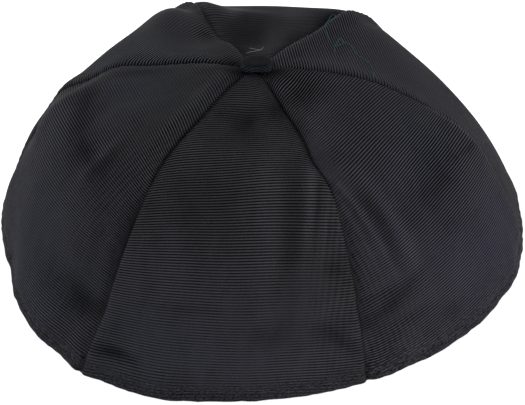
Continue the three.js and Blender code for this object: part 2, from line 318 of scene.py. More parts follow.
class Panel:
    """One panel's surface over u, 0 to 1 from its first seam to its second, and s, 0 to 1 from the crown's
    middle to the hem's edge."""

    def __init__(self, name):
        row = dict(zip(PANEL_COLUMNS, PANELS[name]))
        self.first, self.second = Seam(row["first"]), Seam(row["second"])
        turn = (self.second.azimuth - self.first.azimuth) % 360.0
        self.middle_azimuth = self.first.azimuth + turn / 2
        self.puff_shares = (self.first.shares + self.second.shares) / 2
        side = [row["shoulder"], row["upper"], row["lower"], row["rim"]]
        self.puffs = [0.0, TIP_PUFF * row["top"], row["top"]] + side
        self.grains = np.tan(np.radians([row["grain_tip"], row["grain_foot"]]))
        self.laps = LAPS[name]
        self.sinks = SEAM_SINKS[row["first"]] + SEAM_SINKS[row["second"]]

    def width(self, s):
        """Straight distance between the two seams' points at s."""
        return np.linalg.norm(self.second.point(s) - self.first.point(s), axis=-1)

    def chord(self, u, s):
        """Straight line between the seams: a (1-u) + b u."""
        a, b = self.first.point(s), self.second.point(s)
        return a * (1 - u)[..., None] + b * u[..., None]

    def proud(self, s):
        """Square to the middle line in its upright plane, turned level towards the hem."""
        half = np.full_like(s, 0.5)
        run = self.chord(half, s + 0.004) - self.chord(half, s - 0.004)
        middle = outward(self.middle_azimuth)
        normal = unit(-run[..., 2:] * middle + (run @ middle)[..., None] * UP)
        normal[..., 2] *= 1 - smoothstep(s, 0.6, 1.0)
        return unit(normal)

    def smooth(self, u, s):
        """chord(u, s) + 4u(1-u) puff(s) proud(s)."""
        puff = 4 * u * (1 - u) * curve_through(self.puff_shares, self.puffs, s)
        return self.chord(u, s) + puff[..., None] * self.proud(s)

    def wall(self, u, s):
        """The surface's own normal, which turns to the seams' normals within EDGE_BLEND of them and goes
        level at the hem's edge."""
        down = self.smooth(u, s + 0.01) - self.smooth(u, s - 0.01)
        over = self.smooth(u + 0.01, s) - self.smooth(u - 0.01, s)
        own = unit(np.cross(down, over))
        near_first = np.clip(1 - u * self.width(s) / EDGE_BLEND, 0, 1) ** 2
        near_second = np.clip(1 - (1 - u) * self.width(s) / EDGE_BLEND, 0, 1) ** 2
        normal = unit(
            own * ((1 - near_first) * (1 - near_second))[..., None]
            + self.first.normal(s) * ((1 - u) * near_first)[..., None]
            + self.second.normal(s) * (u * near_second)[..., None]
        )
        level = unit(normal * [1.0, 1.0, 0.0])
        share = smoothstep(s, 0.9, 1.0)[..., None]
        return unit(normal * (1 - share) + level * share)

    def outer(self, u, s):
        """The cloth's outer face without its weave: smooth(u, s) + sum over FOLDS of height * bump along the
        wall's direction + sum over SWAYS of shift * bump sideways."""
        points, direction = self.smooth(u, s), self.wall(u, s)
        moved = points.copy()
        for values in FOLDS.values():
            fold = dict(zip(FOLD_COLUMNS, values))
            moved += fold["height"] * bump(fold, points, s) * direction
        for values in SWAYS.values():
            sway = dict(zip(SWAY_COLUMNS, values))
            moved += sway["shift"] * bump(sway, points, s) * sideways(sway["azimuth"])
        return moved, direction

    def rib_place(self, u, s):
        """Distance down the middle line at which the straight rib through (u, s) crosses it:
        length(s) + (point - middle point) . run + across(u, s) tan(grain)."""
        line = np.linspace(0.0, 1.0, 801)
        middle = self.smooth(np.full_like(line, 0.5), line)
        length = distance_along(middle)
        run = unit(np.gradient(middle, line, axis=0))
        lag = ((self.smooth(u, s) - read_at(s, line, middle)) * unit(read_at(s, line, run))).sum(-1)
        grain = self.grains[0] + (self.grains[1] - self.grains[0]) * smoothstep(s, 0.2, 0.6)
        return np.interp(s, line, length) + lag + grain * self.across(u, s)

    def across(self, u, s):
        """Signed distance from the panel's middle line, along the chord."""
        return (u - 0.5) * self.width(s)


def wander(x, y, phase):
    """How far a rib strays from straight: a sum of three slow waves across and along the panel."""
    return (
        0.10 * np.sin(x / 9.0 + y / 31.0 + phase)
        + 0.07 * np.sin(x / 4.3 - y / 17.0 + 2.1 * phase)
        + 0.05 * np.sin(x / 21.0 + y / 11.0 + 3.7 * phase)
    )


def seam_relief(distance, lap, sink, along, phase):
    """Beside a seam. Where the panel laps over, its edge is a quarter round, LAP_ROUND (1 + 1.3 lap) wide,
    that rises to lap and is let down again from 3 to 9 mm; where it dips under, lap exp(-(d / 3)^2) and a
    valley into the seam, -sink (0.6 exp(-d / 0.35) + 0.5 exp(-(d / 1.1)^2)). Small puckers fade over 3 mm."""
    over, under = np.maximum(lap, 0.0), np.minimum(lap, 0.0)
    lapping = smoothstep(lap, 0.0, 0.4)
    edge = distance / (LAP_ROUND * (1 + 1.3 * over))
    rise = np.sqrt(1 - np.clip(1 - edge, 0, 1) ** 2) - 1
    rolled = over * (1 + rise) * (1 - smoothstep(distance, 3.0, 9.0)) + sink * rise * lapping
    valley = 0.6 * np.exp(-distance / 0.35) + 0.5 * bell(distance, 1.1)
    sunk = -sink * valley * (1 - lapping)
    dip = under * bell(distance, 3.0)
    pucker = 0.10 * np.sin(2 * np.pi * along / 3.3 + phase + 1.3 * np.sin(along / 5.0))
    return rolled + sunk + dip + pucker * bell(distance - 1.6, 1.5)


def closed_mesh(name, points, polygons, weave=None, marks=None):
    """A mesh of the points, in millimetres from the crown's axis, and of polygons, a list of index arrays
    with one row a face. weave holds every point's place on the cloth as it was cut, from the middle line and
    from the tip, and marks its marks by kind."""
    mesh = bpy.data.meshes.new(name)
    corners = np.concatenate([faces.ravel() for faces in polygons]).astype(np.int32)
    sizes = np.concatenate([np.full(len(faces), faces.shape[1]) for faces in polygons])
    starts = np.concatenate([[0], np.cumsum(sizes)[:-1]]).astype(np.int32)
    mesh.vertices.add(len(points))
    placed = (points + [CROWN_AXIS_X, 0.0, 0.0]) * MM
    mesh.vertices.foreach_set("co", placed.astype(np.float32).ravel())
    mesh.loops.add(len(corners))
    mesh.loops.foreach_set("vertex_index", corners)
    mesh.polygons.add(len(sizes))
    mesh.polygons.foreach_set("loop_start", starts)
    mesh.polygons.foreach_set("use_smooth", np.ones(len(sizes), bool))
    mesh.update(calc_edges=True)
    if weave is not None:
        cut = weave / [PANEL_WIDTH, PANEL_LENGTH] + [0.5, 0.0]
        layer = mesh.uv_layers.new(name="weave")
        layer.data.foreach_set("uv", cut[corners].astype(np.float32).ravel())
    for kind, values in (marks or {}).items():
        mesh.attributes.new(kind, "FLOAT", "POINT").data.foreach_set("value", values.astype(np.float32))
    return added(name, mesh)


def tube_mesh(name, tubes):
    """One mesh of closed tubes. An entry holds the points of tubes with equal counts of rings and sides."""
    polygons, first = [], 0
    for points in tubes:
        grid = np.arange(points[..., 0].size).reshape(points.shape[:3]) + first
        polygons += [faces_between(grid, np.roll(grid, -1, axis=-1)), grid[:, 0, ::-1], grid[:, -1]]
        first += grid.size
    return closed_mesh(name, np.concatenate([points.reshape(-1, 3) for points in tubes]), polygons)


def panel_rows(panel, u):
    """s at each column u and row. Down the panel the rows follow the ribs, ROWS_PER_RIB to a rib; at the tip
    and at the hem they ease over to level ones."""
    top = HOLE_RADIUS / PANEL_LENGTH
    s = np.linspace(top, 1.0, 600)
    every_u, every_s = u[:, None] + 0 * s, s + 0 * u[:, None]
    place, x = panel.rib_place(every_u, every_s), panel.across(every_u, every_s)
    phase = np.radians(panel.middle_azimuth)
    straight = place - wander(x, place, phase)
    middle_line = straight[len(u) // 2]
    step = RIB_PITCH / ROWS_PER_RIB
    targets = np.arange(np.ceil(middle_line[0] / step) * step, middle_line[-1], step)
    targets = np.concatenate([[middle_line[0]], targets[targets > middle_line[0] + 0.3 * step]])
    level = np.interp(targets, middle_line, s)
    if level[-1] > 1 - 0.3 * step / PANEL_LENGTH:
        level, targets = level[:-1], targets[:-1]
    level, targets = np.append(level, 1.0), np.append(targets, middle_line[-1])
    ribbed = np.stack([np.interp(targets, column, s) for column in straight])
    follow = smoothstep(level, 0.03, 0.12) * (1 - smoothstep(level, 0.80, 0.985))
    return level + (ribbed - level) * follow


# Where the watering shows, and where light and shade are painted. The brightness marks hold the watering's
# light and dark clouds together with painted shade under and beside the button, beside the seams, in dents
# and along the outline, and a painted highlight on the back panel's crest. Then come narrow streaks beside
# the seams (streak), ribs pressed flat or, below nought, standing out (pressed), flecks of loose yarn
# (fleck), and a bluer (cool) or greener (green) colour. x is from the panel's middle line and y down it, then
# come the half width and half length, the strength and, where it isn't nought, the slant in degrees.
WATER_COLUMNS = ("x", "y", "across", "length", "strength", "slant")
WATERING = {
    ("panel_front", "tone_and_painted_light"): (
        (-3, 15, 4, 6, -0.07), (0.5, 27, 3.6, 5.5, -0.33), (-6, 20, 4, 6, -0.06), (20, 36, 3, 6, 0.1),
        (26, 48, 2.5, 5, 0.14), (35, 78, 3, 6, -0.1), (36, 109, 3, 2.5, -0.2), (-29, 56, 3, 6, -0.08),
        (-8, 22, 4, 3.5, -0.12), (9, 21, 2, 7, -0.22, -20), (21, 42.5, 1.8, 4, -0.22, -25),
        (-13, 55, 9, 8, -0.16), (-3, 57, 4, 8, -0.12), (8, 50, 3.8, 9, 0.22), (9.5, 68, 3, 9, 0.18),
        (16.5, 62, 2.2, 14, -0.24), (21.2, 57, 1, 9, 0.36), (23.5, 58, 0.9, 9, -0.22),
        (25.6, 62, 0.8, 9, 0.22), (29, 76, 3.5, 2.2, -0.2), (12, 96, 3.5, 2.5, -0.2),
        (33, 98, 5, 1.6, -0.32, 37), (-26, 53, 2.5, 7, -0.08), (29, 84, 5, 3, -0.08), (20, 97, 9, 5, -0.06),
        (-8, 113, 22, 4, -0.11), (-2.7, 19.6, 2.6, 2.6, 0.24), (8, 21.5, 1.6, 4, -0.2, 20),
        (22.4, 46.8, 1.8, 5, 0.32, 20), (12, 72, 5, 7, -0.1), (-33.4, 98.6, 2.6, 5, -0.13),
        (-34, 105, 5, 1.5, -0.38), (2, 116, 13, 2, -0.12), (28, 116, 8, 2, 0.1), (12.5, 18, 2, 5, -0.14),
        (20, 38, 4, 5, 0.09), (-14, 88, 9, 1, -0.14),
    ),
    ("panel_front", "cool"): ((-26, 96, 14, 14, 0.7), (4, 106, 22, 12, 0.5)),
    ("panel_front", "green"): ((-28, 104, 13, 10, 2.2), (2, 94, 22, 14, -1)),
    ("panel_front", "streak"): ((28, 63, 3.5, 10, 1), (31, 86, 4, 8, 0.9), (33, 104, 5, 6, 0.4)),
    ("panel_front", "pressed"): (
        (0, 28, 5, 5, 0.7), (0, 42, 18, 5, -0.35), (0, 8, 9, 6, -1), (-22, 38, 6, 5, -0.5),
        (-4, 78, 26, 9, 0.25), (-25, 91, 8, 7, 0.25), (30, 96, 7, 7, 0.3), (-28, 50, 5, 12, -0.4, -18),
        (-6, 106, 24, 19, 0.7), (15, 92, 8, 9, 0.4), (24, 78, 5, 8, 0.35),
    ),
    ("panel_front_right", "tone_and_painted_light"): (
        (0, 10, 4, 3.5, -0.13), (-4.5, 13, 2.5, 2, 0.14), (-1, 20, 6.5, 4, -0.24), (-5, 29, 8, 2.5, 0.14),
        (-13, 34, 3, 5, 0.12), (-17, 43, 2.6, 3.2, -0.18), (-10, 45, 9, 11, 0.07), (-24.2, 63, 0.8, 12, 0.38),
        (-25.8, 60, 0.7, 10, -0.18), (-27.3, 65, 0.7, 10, 0.16), (-20.5, 68, 1.6, 12, -0.24),
        (-21.5, 42, 2.6, 8, 0.12, 28), (-35, 82, 4, 7, -0.08), (-16, 60, 1.4, 9, 0.2),
        (-16, 78, 1.8, 7, 0.26), (4, 71, 9, 4.5, -0.22), (12, 62, 8, 6, -0.08), (3, 84, 3.5, 3, -0.12),
        (-2, 95, 9, 12, 0.09), (28, 90, 4, 6, 0.08), (-34, 88, 5, 3, 0.06), (-1, 3.5, 3, 2, 0.3),
        (-15, 27, 4, 4, -0.14), (6, 20, 5, 5, 0.1), (21, 43, 4, 5, -0.11), (-34, 96, 5, 8, -0.1),
        (1.4, 7, 2.2, 2.8, -0.5), (-19.5, 48.1, 2.6, 5, 0.16), (-23.6, 61.1, 2.6, 7, -0.14),
        (-23, 95.4, 5, 5, -0.1), (34, 84, 4, 8, 0.04), (34.5, 76, 0.9, 18, 0.24, -17),
        (-27, 91, 8, 1.6, -0.24, -14), (-34, 106, 5, 3, -0.1), (-10, 107, 5, 2.5, -0.18),
        (27, 71.5, 7, 0.9, -0.25, 13),
    ),
    ("panel_front_right", "cool"): ((-2, 78, 30, 32, 0.6), (24, 102, 20, 12, 0.8), (13, 58, 6, 8, 0.8)),
    ("panel_front_right", "green"): ((-4, 78, 28, 32, -1.7), (14, 58, 7, 8, 3)),
    ("panel_front_right", "streak"): ((-31, 75, 4, 10, 0.9), (-28, 101, 7, 5, 0.8)),
    ("panel_front_right", "pressed"): (
        (0, 12, 11, 9, -1.9), (16, 64, 14, 13, -0.9), (-2, 42, 8, 5, -0.4), (-21.5, 42, 3, 9, 1.3, 28),
        (-27, 70, 4, 12, 0.35, 12), (-12, 84, 8, 6, 0.4), (-40, 104, 5, 7, -0.8), (-20, 92, 14, 8, 0.3),
        (14, 96, 12, 7, 0.35),
    ),
    ("panel_front_right", "fleck"): ((8, 112, 30, 6, 0.45), (-34, 110, 9, 7, 0.45)),
    ("panel_front_left", "tone_and_painted_light"): (
        (2, 10, 5, 4, -0.17), (-30, 100, 7, 13, -0.14), (-13, 35, 1.6, 11, -0.28, 20),
        (-11.5, 54, 7, 2.8, -0.24, 50), (4, 62.5, 7, 2.8, -0.3), (13, 58, 1.8, 6, -0.25),
        (9.6, 60, 1, 9, 0.24), (34, 101, 5, 3.5, -0.36), (22, 100, 8, 4, -0.14), (-5, 45, 7, 9, 0.03),
        (10, 60, 20, 9, -0.11), (-21, 57, 5, 4, -0.18), (-8, 65, 3, 3.5, 0.1), (0, 7.5, 4, 2.6, -0.34),
        (-8, 108, 14, 7, -0.1), (-34, 98, 3, 6, -0.1), (30, 56, 2.5, 6, -0.07), (-6, 106, 24, 14, -0.1),
        (6, 116, 14, 2, -0.1), (-21, 43, 4, 9, -0.2), (0, 14, 6, 7, -0.09), (-26, 76, 7, 12, -0.12),
        (28, 80, 6, 9, -0.09), (0, 8, 2, 2.6, -0.42), (-10.9, 64.4, 5, 7, 0.12), (38, 102.9, 2.6, 2.6, 0.22),
        (-16, 53, 4, 3.5, -0.12), (-20, 96, 14, 16, -0.16), (-8, 76, 10, 8, 0.05),
        (10, 36, 1.6, 10, 0.06, -26),
    ),
    ("panel_front_left", "cool"): (
        (-6, 92, 28, 24, 0.9), (2, 9, 6, 5, 0.6), (6, 108, 22, 10, 0.8), (-6, 40, 7, 9, 0.9),
    ),
    ("panel_front_left", "green"): ((0, 98, 28, 18, 1.9), (-2, 30, 12, 16, 1.6)),
    ("panel_front_left", "pressed"): (
        (-17, 56, 4, 4, -0.7), (-3, 31, 9, 14, 1), (0, 50, 7, 5, 0.4), (1, 93, 13, 16, 0.6),
        (30, 92, 8, 12, 0.25), (30, 54, 4, 10, -0.8, -18), (15, 88, 5, 10, 0.3), (26, 92, 6, 6, 0.3),
        (15.4, 34, 1.2, 13, -1.3, -26), (10, 36, 2, 10, 0.9, -26), (2, 61, 10, 5, -0.9), (0, 5, 5, 4, -0.8),
    ),
    ("panel_front_left", "streak"): ((21.5, 60, 4.5, 16, 1), (27, 106, 6, 5, 0.5)),
    ("panel_front_left", "fleck"): ((-24, 80, 6, 14, 0.5), (-16, 104, 16, 10, 0.4)),
    ("panel_back", "tone_and_painted_light"): (
        (-3, 20, 2.5, 10, 0.14), (5.5, 29.5, 4, 3.2, -0.26), (-11, 21, 4, 6, -0.26), (3, 22, 3.5, 3.5, -0.16),
        (3, 46, 8, 4, -0.1), (-20.5, 37, 3, 4, -0.5), (7.2, 17.5, 3.4, 4.6, -0.3), (1, 19, 14, 5, -0.14),
        (3, 28, 4, 3, -0.11), (19, 39, 3, 6, 0.2), (8.5, 20, 2.2, 7, -0.14, -15), (14, 32, 3, 2.2, -0.12),
        # Painted highlight: the mark at 11.5, 39.5 is a highlight on the back panel's crest, and the one at
        # -8, 40 a paler spot of it.
        (11.5, 39.5, 2.2, 3.4, 1.3, 20), (17, 31, 2, 3, 0.12), (-8, 40, 4, 3.2, 0.36), (-15, 33, 3, 6, -0.14),
        (17, 30, 1.6, 9, 0.14, -28), (-8.5, 25, 3, 4, -0.14),
    ),
    ("panel_back", "cool"): ((0, 30, 20, 15, 0.15),),
    ("panel_back", "streak"): ((-6, 72, 12, 20, 0.5),),
    ("panel_back", "pressed"): ((4, 34, 17, 12, 1),),
    ("panel_back_left", "tone_and_painted_light"): (
        (-10, 28, 3, 2, -0.24), (28, 63, 4, 4, -0.2), (26.6, 54.6, 1.8, 3.6, 0.24, -15),
        (-9, 49, 6, 2.5, -0.16), (2, 9, 4, 5, -0.11), (-10, 37, 9, 5, 0.1), (17, 46, 4, 3.5, 0.07),
        (3, 7, 2, 2.6, -0.38), (2, 36, 15, 12, 0.2), (0.5, 28, 2, 9, 0.08, -32), (10, 40, 8, 5, 0.1),
        (25, 47, 4, 5, 0.26),
    ),
    ("panel_back_left", "cool"): ((15, 32, 8, 14, 0.6, -20), (-5, 38, 10, 10, 0.1)),
    ("panel_back_left", "green"): ((14, 30, 8, 16, 2.4, -20),),
    ("panel_back_left", "pressed"): (
        (11.5, 27, 3.2, 15, -1.5, -21), (-7, 36, 13, 9, 1.4), (-10.5, 28.5, 2.5, 3, -2.2),
    ),
    ("panel_back_left", "streak"): ((20, 66, 6, 20, 0.6),),
    ("panel_back_right", "tone_and_painted_light"): (
        (2, 20, 7, 7, -0.1), (21, 41, 2.5, 4, 0.12), (-6, 76, 5, 8, -0.09), (-21, 89, 3, 4, 0.1),
        (5, 66, 6, 9, -0.14), (20, 54, 6, 5, -0.16), (-4, 82, 5, 9, -0.16), (-28, 110, 9, 9, -0.14),
        (-24, 106, 7, 14, -0.18),
    ),
    ("panel_back_right", "cool"): ((-4, 50, 16, 30, 0.35),),
    ("panel_back_right", "fleck"): ((-20, 84, 7, 10, 0.6),),
    ("panel_back_right", "streak"): ((20, 70, 6, 20, 0.6),),
    ("panel_back_right", "pressed"): (
        (-10, 46, 9, 13, 0.8), (6, 26, 8, 8, -1.8), (-4, 11, 8, 5, -1.6), (22, 42, 3.5, 7, -1.7, -20),
    ),
}


def watering(name, kind, x, y):
    """Sum over the panel's marks of strength * exp(-(a^2 + b^2) / 2), a and b being the distances across and
    along over the mark's half width and half length."""
    total = np.zeros_like(x)
    for values in WATERING.get((name, kind), ()):
        mark = dict(zip(WATER_COLUMNS, values))
        slant = np.radians(mark.get("slant", 0.0))
        c, n = np.cos(slant), np.sin(slant)
        a, b = x - mark["x"], y - mark["y"]
        across, along = (a * c + b * n) / mark["across"], (b * c - a * n) / mark["length"]
        total += mark["strength"] * np.exp(-0.5 * (across**2 + along**2))
    return total


def make_panel(name):
    """Outer face with weave, seams and hem in relief, plain inner face, and the strips that join them. A rib
    is RIB_HEIGHT (|sin(pi thread / pitch)|^RIB_ROUND - 1), shallower where it is pressed."""
    panel = Panel(name)
    phase = np.radians(panel.middle_azimuth)
    even = np.linspace(0.0, 1.0, COLUMNS + 1)
    u = even - SEAM_CROWDING * np.sin(2 * np.pi * even) / (2 * np.pi)
    s = panel_rows(panel, u)
    every_u = u[:, None] + 0 * s
    points, direction = panel.outer(every_u, s)
    x, y = panel.across(every_u, s), panel.rib_place(every_u, s)
    half = panel.across(np.ones_like(s), s)
    thread = y - wander(x, y, phase)
    from_hem = (1 - s) * PANEL_LENGTH
    down = s * PANEL_LENGTH

    rib = np.abs(np.sin(np.pi * thread / RIB_PITCH)) ** RIB_ROUND
    at_hem = smoothstep(from_hem, HEM_HEIGHT, HEM_FADE)
    pressed = np.clip(watering(name, "pressed", x, y), PRESSED_LEAST, PRESSED_MOST)
    pressed = pressed + (PRESSED_AT_HEM - pressed) * at_hem
    relief = RIB_HEIGHT * (rib - 1.0) * (1 - np.where(pressed > 0, RIB_FLATTENED, RIB_RAISED) * pressed)
    fade = smoothstep(down, SEAM_START, SEAM_FULL)
    lower = smoothstep(s, LOWER_START, LOWER_FULL)
    # The brightness mark: the watering's marks, which carry painted shade and highlight as well, less painted
    # shade at the hem's edge and along the stitch row.
    tone_and_painted_light = watering(name, "tone_and_painted_light", x, y) - EDGE_SHADE * smoothstep(from_hem, 3.0, 0.5)
    tone_and_painted_light -= STITCH_SHADE * bell(from_hem - 4.0, 2.2)
    for side, first in ((half + x, 0), (half - x, 2)):
        top, foot = panel.laps[first : first + 2]
        lap = (top + (foot - top) * lower) * fade * (1 - 0.8 * at_hem)
        top, foot = panel.sinks[first : first + 2]
        sink = (top + (foot - top) * lower) * (0.2 + 0.8 * fade)
        relief += seam_relief(side, lap, sink, down, 5 * phase)
        under = smoothstep(lap, 0.1, -0.4)
        deep = np.maximum(-0.8 - lap, 0.0)
        # Painted shade beside the seam, wider and darker where the panel dips under and scaled by the seam's
        # sink, and more where it dips deep, fading out near the hem.
        shade = (SEAM_SHADE + UNDER_SHADE * under) * bell(side, 0.6 + 0.9 * under)
        painted_hollow_shade = HOLLOW_SHADE * deep * bell(side, 2.8) * smoothstep(s, 0.90, 0.80)
        tone_and_painted_light -= (shade * sink + painted_hollow_shade) * fade
    relief += UNEVEN * np.sin(x / 7.0 + y / 23.0 + phase) * np.sin(y / 9.0 - x / 31.0 + 2 * phase) * fade
    pull = 0.5 + 0.5 * np.cos(2 * np.pi * x / 2.9 + phase + np.sin(x / 6.0))
    relief -= (STITCH_DIP + STITCH_PULL * pull) * bell(from_hem - STITCH_LINE, 0.8)
    waves = 0.12 * np.sin(x / 1.7 + 2.0 * np.sin(x / 8.0) + phase)
    waves += 0.09 * np.sin(x / 0.85 + 3.0 * np.sin(x / 5.0))
    relief += (HEM_PROUD + waves) * smoothstep(from_hem, 6.0, 0.0)
    bottom = np.clip(1 - points[..., 2] / HEM_ROUND, 0, 1)
    curl = HEM_ROUND * (1 - np.sqrt(np.clip(1 - bottom**2, 0, 1)))
    relief -= curl
    outer = points + np.maximum(relief, LEAST_RELIEF)[..., None] * direction

    ratio = COLUMNS // LINING_COLUMNS
    hem_top = 1 - HEM_HEIGHT / PANEL_LENGTH
    thick = CLOTH + (HEM_CLOTH - CLOTH) * smoothstep(s[::ratio], hem_top - 0.006, hem_top)
    thick -= 0.6 * curl[::ratio]
    inner = points[::ratio] - thick[..., None] * direction[::ratio]

    front = np.arange(outer[..., 0].size).reshape(outer.shape[:2])
    back = front.size + np.arange(inner[..., 0].size).reshape(inner.shape[:2])
    faces = [
        faces_between(front[:, :-1], front[:, 1:]),
        faces_between(back[:, :-1], back[:, 1:])[:, TURNED_OVER],
        np.stack([front[0, 1:], front[0, :-1], back[0, :-1], back[0, 1:]], -1),
        np.stack([front[-1, :-1], front[-1, 1:], back[-1, 1:], back[-1, :-1]], -1),
    ]
    spans = np.arange(LINING_COLUMNS)[:, None] * ratio + np.arange(ratio + 1)
    for row, reverse in ((0, False), (s.shape[1] - 1, True)):
        strip = np.concatenate([front[spans, row], back[1:, row][:, None], back[:-1, row][:, None]], axis=1)
        faces.append(strip[:, ::-1] if reverse else strip)

    def both(values, size=1):
        """The values of the outer face, then those of them that the inner face takes over."""
        return np.concatenate([values.reshape(-1, size), values[::ratio].reshape(-1, size)])

    weave = both(np.stack([x, thread], -1), 2)
    marks = {kind: watering(name, kind, x, y) for kind in ("streak", "fleck", "cool", "green")}
    marks = {**marks, "tone_and_painted_light": tone_and_painted_light, "pressed": pressed, "fleck": FLECK_AT_HEM * at_hem + marks["fleck"]}
    marks = {kind: both(values).ravel() for kind, values in marks.items()}
    points = np.concatenate([outer.reshape(-1, 3), inner.reshape(-1, 3)])
    return panel, closed_mesh(name + "_cloth", points, faces, weave, marks)


def math_node(operation, swapped=False):
    """A method of Wire that adds one Math node. When swapped, the Wire is its second value."""

    def method(self, other=0.0):
        first, second = (other, self) if swapped else (self, other)
        return self.finish.node("ShaderNodeMath", {"operation": operation}, {0: first, 1: second})

    return method


class Wire:
    """A shader value in an expression: every operator adds one Math node."""

    def __init__(self, finish, socket):
        self.finish, self.socket = finish, socket

    def part(self, output):
        """Another output of the node that this value comes from."""
        return Wire(self.finish, self.socket.node.outputs[output])

    __add__ = math_node("ADD")
    __radd__ = math_node("ADD", swapped=True)
    __sub__ = math_node("SUBTRACT")
    __rsub__ = math_node("SUBTRACT", swapped=True)
    __mul__ = math_node("MULTIPLY")
    __rmul__ = math_node("MULTIPLY", swapped=True)
    __truediv__ = math_node("DIVIDE")
    __pow__ = math_node("POWER")
    __abs__ = math_node("ABSOLUTE")
    sine = math_node("SINE")
    larger = math_node("MAXIMUM")


class Finish:
    """The nodes of a material, or of the studio's light. node() adds any of them: its settings first, then
    its sockets, each with a Wire that is linked to it or with its own value."""

    def __init__(self, owner):
        self.owner = owner
        owner.use_nodes = True
        self.tree = owner.node_tree
        self.tree.nodes.clear()

    def node(self, kind, settings=None, sockets=None, output=0):
        node = self.tree.nodes.new(kind)
        for key, value in (settings or {}).items():
            setattr(node, key, value)
        for key, value in (sockets or {}).items():
            if isinstance(value, Wire):
                self.tree.links.new(value.socket, node.inputs[key])
            else:
                node.inputs[key].default_value = value
        return Wire(self, node.outputs[output]) if node.outputs else None

    def noise(self, x, y, z, detail=2.0):
        place = self.node("ShaderNodeCombineXYZ", None, {"X": x, "Y": y, "Z": z})
        return self.node("ShaderNodeTexNoise", None, {"Vector": place, "Scale": 1.0, "Detail": detail})

    def step(self, value, low, high):
        """0 below low and 1 above high, with a smooth rise between."""
        settings = {"interpolation_type": "SMOOTHSTEP"}
        return self.node("ShaderNodeMapRange", settings, {"Value": value, "From Min": low, "From Max": high})

    def blend(self, share, first, second):
        """The first colour where share is 0 and the second where it is 1."""
        return self.node("ShaderNodeMix", {"data_type": "RGBA"}, {0: share, 6: first, 7: second}, 2)

    def surface(self, sockets):
        shader = self.node("ShaderNodeBsdfPrincipled", None, sockets)
        self.node("ShaderNodeOutputMaterial", None, {"Surface": shader})
        return self.owner


def yarn(name, scale, detail, deep, pale, roughness, gloss):
    """Sewing thread or loose cotton: two colours mixed by a noise as fine as its twist."""
    fibre = Finish(bpy.data.materials.new(name))
    place = fibre.node("ShaderNodeTexCoord", None, None, 3)
    twist = fibre.node("ShaderNodeTexNoise", None, {"Vector": place, "Scale": scale, "Detail": detail})
    return fibre.surface({
        "Base Color": fibre.blend(twist, deep, pale),
        "Roughness": roughness,
        "Specular IOR Level": gloss,
    })


# Rib colours: the groove colour is painted shade and the crest colour painted light, which darken the grooves
# and light the crests beyond what their relief shades. FAILLE_PRESSED is the grey of flattened ribs.
FAILLE_GROOVE_SHADE = (0.0015, 0.0015, 0.0018, 1.0)
FAILLE_CREST_LIGHT = (0.0530, 0.0527, 0.0565, 1.0)
FAILLE_PRESSED = (0.0220, 0.0219, 0.0238, 1.0)
COOL_BLUE, COOL_GREEN = 0.26, 0.03
RIB_LIGHT = 2.6
WARP_PITCH = 0.42
STREAK_PITCH, STREAK_BEND = 1.8, 1.3
CLOUD_WIDTH, CLOUD_LENGTH = 8.0, 22.0
BLOT_WIDTH, BLOT_LENGTH = 3.4, 5.0
YARN_WIDTH, YARN_LENGTH = 0.85, 0.45
FIBRE_WIDTH, FIBRE_LENGTH = 0.60, 0.36
WEAVE_STRENGTH, WEAVE_DEPTH = 0.6, 0.06
FAILLE_ROUGHNESS, WATERED_GLOSS, FAILLE_SPECULAR = 0.66, 0.14, 0.06


